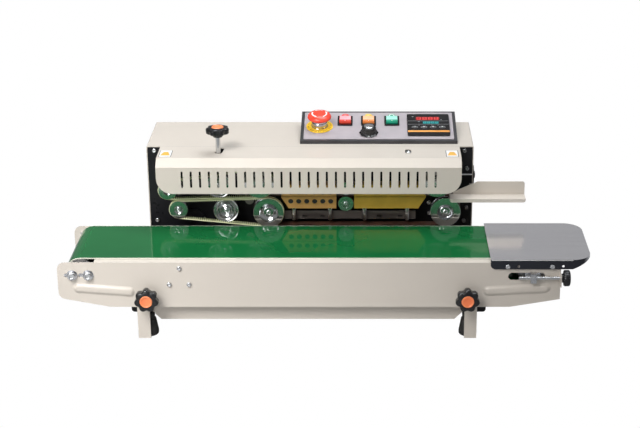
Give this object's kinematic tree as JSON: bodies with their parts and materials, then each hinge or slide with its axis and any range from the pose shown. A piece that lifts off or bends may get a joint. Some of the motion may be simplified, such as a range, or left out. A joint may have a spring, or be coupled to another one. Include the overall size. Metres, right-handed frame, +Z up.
{
  "type": "continuous band sealer",
  "caption": "Bench bag sealer: slotted head with heated sealing bands and embossing wheels over a height-adjustable belt conveyor, sloping control panel and folded sheet-metal stand.",
  "frame": {"origin": "on the bench, under the centre of the machine's bounding box", "axes": "+X along the conveyor towards the loading plate, +Y away from the operator, +Z up"},
  "size_m": [0.84, 0.384, 0.2956],
  "materials": {
    "painted_beige": "fine powder coat, satin",
    "black_plate": "black powder coat, semi-gloss",
    "steel": "brushed",
    "zinc": "zinc plated",
    "chrome": "turned and polished",
    "brass": "milled",
    "rubber": "matt",
    "black_plastic": "moulded, fine grain",
    "gloss_black": "polished",
    "console_black": "satin black paint",
    "plate_grey": "satin overlay",
    "red_plastic": "gloss",
    "orange_plastic": "gloss",
    "green_plastic": "gloss",
    "belt_green": "gloss PVC",
    "band_brown": "coated glass cloth",
    "guide_belt": "polyurethane",
    "motor_grey": "cast",
    "button_grey": "moulded"
  },
  "bodies": {
    "stand_and_head": {"base_tray": "painted_beige", "foot_bars": "black_plate", "rubber_feet": "rubber", "front_legs": "painted_beige", "head_housing": "painted_beige", "back_cover": "painted_beige", "front_plate": "black_plate", "front_cover": "painted_beige", "head_screws": "zinc", "bag_tray": "painted_beige", "fan_guard": "motor_grey", "power_inlet": "black_plastic", "control_console": "console_black", "console_plate": "plate_grey", "switch_housings": "black_plastic", "temperature_controller": "gloss_black", "sealing_bands": "band_brown", "guide_belts": "guide_belt", "heating_blocks": "brass", "cooling_blocks": "brass", "mounting_brackets": "zinc", "gear_motor": "motor_grey"},
    "conveyor": {"conveyor_front_panel": "painted_beige", "conveyor_rear_panel": "painted_beige", "belt_bed": "zinc", "conveyor_belt": "belt_green", "loading_plate": "steel", "conveyor_bolts": "zinc"},
    "drive_roller": {"drive_roller": "zinc"},
    "tension_yokes": {"tension_yokes": "zinc"},
    "tail_roller": {"tail_roller": "zinc"},
    "tension_knob": {"tension_knob": "black_plastic"},
    "star_knob_left": {"star_knob_left": "black_plastic"},
    "star_knob_right": {"star_knob_right": "black_plastic"},
    "lower_drive": {"lower_drive_wheel": "chrome", "lower_drive_gear": "steel"},
    "upper_drive": {"upper_drive_wheel": "chrome", "upper_drive_gear": "steel"},
    "motor_pinion": {"motor_pinion": "steel"},
    "lower_idler_wheel": {"lower_idler_wheel": "chrome"},
    "upper_idler_wheel": {"upper_idler_wheel": "chrome"},
    "lower_guide_wheel": {"lower_guide_wheel": "chrome"},
    "upper_guide_wheel": {"upper_guide_wheel": "chrome"},
    "lower_emboss_wheel": {"lower_emboss_wheel": "chrome"},
    "upper_emboss_wheel": {"upper_emboss_wheel": "chrome"},
    "lower_press_wheel": {"lower_press_wheel": "chrome"},
    "upper_press_wheel": {"upper_press_wheel": "chrome"},
    "pressure_knob": {"pressure_knob": "black_plastic"},
    "tray_knob": {"tray_knob": "black_plastic"},
    "fan_rotor": {"fan_rotor": "black_plastic"},
    "estop_stem": {"estop_stem": "chrome"},
    "estop_head": {"estop_head": "red_plastic"},
    "rocker_red": {"rocker_red": "red_plastic"},
    "rocker_orange": {"rocker_orange": "orange_plastic"},
    "rocker_green": {"rocker_green": "green_plastic"},
    "speed_knob": {"speed_knob": "black_plastic"},
    "controller_button_1": {"controller_button_1": "button_grey"},
    "controller_button_2": {"controller_button_2": "button_grey"},
    "controller_button_3": {"controller_button_3": "button_grey"},
    "controller_button_4": {"controller_button_4": "button_grey"}
  },
  "joints": [
    {"name": "lower_drive_spin", "type": "hinge", "parent": "stand_and_head", "child": "lower_drive", "pos_m": [-0.097, 0.016, 0.148], "axis": [0, 1, 0], "continuous": true},
    {"name": "upper_drive_spin", "type": "hinge", "parent": "stand_and_head", "child": "upper_drive", "pos_m": [-0.1115, 0.016, 0.2001], "axis": [0, 1, 0], "continuous": true},
    {"name": "lower_idler_spin", "type": "hinge", "parent": "stand_and_head", "child": "lower_idler_wheel", "pos_m": [0.1984, 0.016, 0.148], "axis": [0, 1, 0], "continuous": true},
    {"name": "upper_idler_spin", "type": "hinge", "parent": "stand_and_head", "child": "upper_idler_wheel", "pos_m": [0.1839, 0.016, 0.2001], "axis": [0, 1, 0], "continuous": true},
    {"name": "lower_guide_spin", "type": "hinge", "parent": "stand_and_head", "child": "lower_guide_wheel", "pos_m": [-0.247, 0.016, 0.1533], "axis": [0, 1, 0], "continuous": true},
    {"name": "upper_guide_spin", "type": "hinge", "parent": "stand_and_head", "child": "upper_guide_wheel", "pos_m": [-0.264, 0.016, 0.187], "axis": [0, 1, 0], "continuous": true},
    {"name": "lower_emboss_spin", "type": "hinge", "parent": "stand_and_head", "child": "lower_emboss_wheel", "pos_m": [-0.168, 0.016, 0.151], "axis": [0, 1, 0], "continuous": true},
    {"name": "upper_emboss_spin", "type": "hinge", "parent": "stand_and_head", "child": "upper_emboss_wheel", "pos_m": [-0.179, 0.016, 0.1943], "axis": [0, 1, 0], "continuous": true},
    {"name": "lower_press_spin", "type": "hinge", "parent": "stand_and_head", "child": "lower_press_wheel", "pos_m": [0.032, 0.016, 0.1617], "axis": [0, 1, 0], "continuous": true},
    {"name": "upper_press_spin", "type": "hinge", "parent": "stand_and_head", "child": "upper_press_wheel", "pos_m": [0.032, 0.016, 0.1865], "axis": [0, 1, 0], "continuous": true},
    {"name": "motor_pinion_spin", "type": "hinge", "parent": "stand_and_head", "child": "motor_pinion", "pos_m": [-0.08147, 0.08, 0.11552], "axis": [0, 1, 0], "continuous": true},
    {"name": "conveyor_height", "type": "slide", "parent": "stand_and_head", "child": "conveyor", "axis": [0, 0, 1], "range_m": [-0.01, 0.015]},
    {"name": "drive_roller_spin", "type": "hinge", "parent": "conveyor", "child": "drive_roller", "pos_m": [-0.3855, -0.08, 0.1102], "axis": [0, 1, 0], "continuous": true},
    {"name": "tension_knob_turn", "type": "hinge", "parent": "conveyor", "child": "tension_knob", "pos_m": [0.38, -0.168, 0.1083], "axis": [1, 0, 0], "range_deg": [0, 1152]},
    {"name": "belt_tension", "type": "slide", "parent": "conveyor", "child": "tension_yokes", "axis": [1, 0, 0], "range_m": [-0.004, 0]},
    {"name": "tail_roller_spin", "type": "hinge", "parent": "tension_yokes", "child": "tail_roller", "pos_m": [0.328, -0.08, 0.1102], "axis": [0, 1, 0], "continuous": true},
    {"name": "star_knob_left_turn", "type": "hinge", "parent": "conveyor", "child": "star_knob_left", "pos_m": [-0.2785, -0.18, 0.0765], "axis": [0, -1, 0], "range_deg": [0, 540]},
    {"name": "star_knob_right_turn", "type": "hinge", "parent": "conveyor", "child": "star_knob_right", "pos_m": [0.225, -0.18, 0.0765], "axis": [0, -1, 0], "range_deg": [0, 540]},
    {"name": "pressure_knob_turn", "type": "hinge", "parent": "stand_and_head", "child": "pressure_knob", "pos_m": [-0.1785, 0.0255, 0.285], "axis": [0, 0, 1], "range_deg": [-540, 540]},
    {"name": "tray_knob_turn", "type": "hinge", "parent": "stand_and_head", "child": "tray_knob", "pos_m": [0.246, 0.095, 0.187], "axis": [1, 0, 0], "range_deg": [0, 540]},
    {"name": "fan_spin", "type": "hinge", "parent": "stand_and_head", "child": "fan_rotor", "pos_m": [-0.292, 0.121, 0.175], "axis": [1, 0, 0], "continuous": true},
    {"name": "estop_press", "type": "slide", "parent": "stand_and_head", "child": "estop_stem", "axis": [0, 0.1906, -0.9817], "range_m": [0, 0.005], "stiffness_N_per_m": 800},
    {"name": "estop_twist", "type": "hinge", "parent": "estop_stem", "child": "estop_head", "pos_m": [-0.0134, 0.1143, 0.28408], "axis": [0, -0.1906, 0.9817], "range_deg": [0, 45], "stiffness_Nm_per_rad": 0.05},
    {"name": "rocker_red_tilt", "type": "hinge", "parent": "stand_and_head", "child": "rocker_red", "pos_m": [0.03, 0.13734, 0.26614], "axis": [1, 0, 0], "range_deg": [0, 14]},
    {"name": "rocker_orange_tilt", "type": "hinge", "parent": "stand_and_head", "child": "rocker_orange", "pos_m": [0.07, 0.13734, 0.26614], "axis": [1, 0, 0], "range_deg": [0, 14]},
    {"name": "rocker_green_tilt", "type": "hinge", "parent": "stand_and_head", "child": "rocker_green", "pos_m": [0.11, 0.13734, 0.26614], "axis": [1, 0, 0], "range_deg": [0, 14]},
    {"name": "speed_knob_turn", "type": "hinge", "parent": "stand_and_head", "child": "speed_knob", "pos_m": [0.0705, 0.09352, 0.26782], "axis": [0, -0.1906, 0.9817], "range_deg": [-135, 135]},
    {"name": "controller_button_1_press", "type": "slide", "parent": "stand_and_head", "child": "controller_button_1", "axis": [0, 0.1906, -0.9817], "range_m": [0, 0.0008], "stiffness_N_per_m": 600},
    {"name": "controller_button_2_press", "type": "slide", "parent": "stand_and_head", "child": "controller_button_2", "axis": [0, 0.1906, -0.9817], "range_m": [0, 0.0008], "stiffness_N_per_m": 600},
    {"name": "controller_button_3_press", "type": "slide", "parent": "stand_and_head", "child": "controller_button_3", "axis": [0, 0.1906, -0.9817], "range_m": [0, 0.0008], "stiffness_N_per_m": 600},
    {"name": "controller_button_4_press", "type": "slide", "parent": "stand_and_head", "child": "controller_button_4", "axis": [0, 0.1906, -0.9817], "range_m": [0, 0.0008], "stiffness_N_per_m": 600}
  ],
  "couplings": [
    {"joint": "upper_drive_spin", "follows": "lower_drive_spin", "ratio": -1},
    {"joint": "lower_idler_spin", "follows": "lower_drive_spin", "ratio": 1},
    {"joint": "upper_idler_spin", "follows": "lower_drive_spin", "ratio": -1},
    {"joint": "lower_guide_spin", "follows": "lower_drive_spin", "ratio": 1.6897},
    {"joint": "upper_guide_spin", "follows": "lower_drive_spin", "ratio": -1.6897},
    {"joint": "lower_emboss_spin", "follows": "lower_drive_spin", "ratio": 1.2093},
    {"joint": "upper_emboss_spin", "follows": "lower_drive_spin", "ratio": -1.2093},
    {"joint": "lower_press_spin", "follows": "lower_drive_spin", "ratio": 2.2807},
    {"joint": "upper_press_spin", "follows": "lower_drive_spin", "ratio": -2.2807},
    {"joint": "motor_pinion_spin", "follows": "lower_drive_spin", "ratio": -3},
    {"joint": "drive_roller_spin", "follows": "lower_drive_spin", "ratio": 1.0924},
    {"joint": "tension_knob_turn", "follows": "belt_tension", "rad_per_m": -5026.5},
    {"joint": "tail_roller_spin", "follows": "lower_drive_spin", "ratio": 1.0924}
  ]
}
